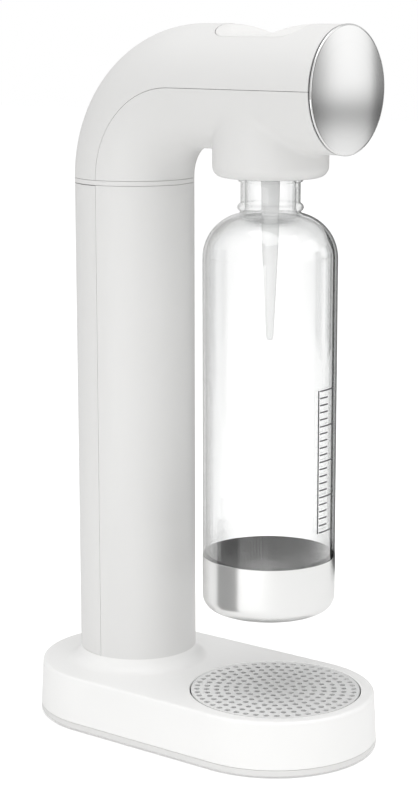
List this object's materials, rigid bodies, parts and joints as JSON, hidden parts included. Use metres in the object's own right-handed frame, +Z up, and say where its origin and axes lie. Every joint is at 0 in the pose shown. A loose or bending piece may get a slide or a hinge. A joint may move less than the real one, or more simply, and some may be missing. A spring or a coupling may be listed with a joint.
{
  "type": "soda carbonator",
  "caption": "Countertop soda carbonator: bent white tube on a stadium base, push button on the head, clear bottle with steel cup hanging over a drip grid.",
  "frame": {"origin": "centre of the base's footprint, on the surface that the rubber feet stand on", "axes": "+Z up, -Y towards the round end plate and the drip tray, +X to the right seen from the front"},
  "size_m": [0.1298, 0.2418, 0.4496],
  "materials": {
    "shell_white": "fine satin moulding",
    "button_white": "smooth satin moulding",
    "tray_grey": "dark grey moulding",
    "rubber_grey": "matt rubber",
    "zinc_steel": "zinc plated",
    "grid_steel": "punched bright stainless sheet",
    "frame_plastic": "natural grey moulding",
    "cylinder_paint": "powder coat",
    "valve_brass": "turned brass",
    "block_aluminium": "machined aluminium",
    "seal_rubber": "black rubber",
    "spring_steel": "drawn spring wire",
    "nozzle_white": "milky moulding",
    "carrier_grey": "dark moulding",
    "plate_steel": "satin stainless, polished rim",
    "bottle_clear": "clear polyester",
    "cup_steel": "satin stainless"
  },
  "bodies": {
    "root": {"base_plate": "shell_white", "rubber_feet": "rubber_grey", "base_shell": "shell_white", "tray_well": "shell_white", "base_screws": "zinc_steel", "cylinder_cradle": "frame_plastic", "inner_frame": "frame_plastic", "column_front_shell": "shell_white", "column_ring": "shell_white", "valve_block": "block_aluminium", "valve_block_screws": "zinc_steel", "valve_seal": "seal_rubber", "plunger_spring": "spring_steel", "lever_pin": "zinc_steel", "hose_fittings": "valve_brass", "gas_hose": "seal_rubber", "head_lower_shell": "shell_white", "head_upper_shell": "shell_white", "thread_ring": "frame_plastic", "bottle_seal": "seal_rubber", "carbonation_block": "frame_plastic", "block_screws": "zinc_steel", "nozzle_probe": "nozzle_white", "nozzle_tip": "nozzle_white", "relief_spring": "spring_steel", "relief_cap": "valve_brass", "safety_valve": "valve_brass", "button_guide": "frame_plastic", "button_springs": "spring_steel", "disc_carrier": "carrier_grey", "front_disc": "plate_steel"},
    "rear_cover": {"rear_cover": "shell_white"},
    "gas_cylinder": {"gas_cylinder": "cylinder_paint", "cylinder_valve": "valve_brass"},
    "plunger": {"plunger": "zinc_steel", "valve_stem": "zinc_steel"},
    "lever": {"lever": "zinc_steel"},
    "button": {"button": "button_white"},
    "relief_poppet": {"relief_poppet": "zinc_steel"},
    "drip_tray": {"drip_tray": "tray_grey"},
    "drip_grid": {"drip_grid": "grid_steel"},
    "bottle_cup": {"bottle_base_cup": "cup_steel"},
    "bottle": {"bottle_body": "bottle_clear"}
  },
  "joints": [
    {"name": "button_press", "type": "slide", "parent": "root", "child": "button", "axis": [0, 0, -1], "range_m": [0, 0.006], "stiffness_N_per_m": 900, "springref_m": -0.002, "deforming": ["button_springs"]},
    {"name": "lever_tilt", "type": "hinge", "parent": "root", "child": "lever", "pos_m": [0, 0.074, 0.388], "axis": [1, 0, 0], "range_deg": [0, 2.8]},
    {"name": "plunger_push", "type": "slide", "parent": "root", "child": "plunger", "axis": [0, 0, -1], "range_m": [0, 0.0009], "deforming": ["plunger_spring"]},
    {"name": "relief_lift", "type": "slide", "parent": "root", "child": "relief_poppet", "axis": [0, 0, 1], "range_m": [0, 0.0015], "stiffness_N_per_m": 1500, "springref_m": -0.002, "deforming": ["relief_spring"]},
    {"name": "rear_cover_slide", "type": "slide", "parent": "root", "child": "rear_cover", "axis": [0, 1, 0], "range_m": [0, 0.09]},
    {"name": "cylinder_turn", "type": "hinge", "parent": "root", "child": "gas_cylinder", "pos_m": [0, 0.056, 0], "axis": [0, 0, 1], "range_deg": [0, 360]},
    {"name": "tray_lift", "type": "slide", "parent": "root", "child": "drip_tray", "axis": [0, 0, 1], "range_m": [0, 0.02]},
    {"name": "grid_lift", "type": "slide", "parent": "drip_tray", "child": "drip_grid", "axis": [0, 0, 1], "range_m": [0, 0.005]},
    {"name": "bottle_drop", "type": "slide", "parent": "root", "child": "bottle_cup", "axis": [0, 0, -1], "range_m": [0, 0.024]},
    {"name": "bottle_turn", "type": "hinge", "parent": "bottle_cup", "child": "bottle", "pos_m": [0, -0.0514, 0], "axis": [0, 0, 1], "range_deg": [0, 360]}
  ],
  "couplings": [
    {"joint": "lever_tilt", "follows": "button_press", "rad_per_m": 7.9775},
    {"joint": "plunger_push", "follows": "button_press", "ratio": 0.1442}
  ]
}
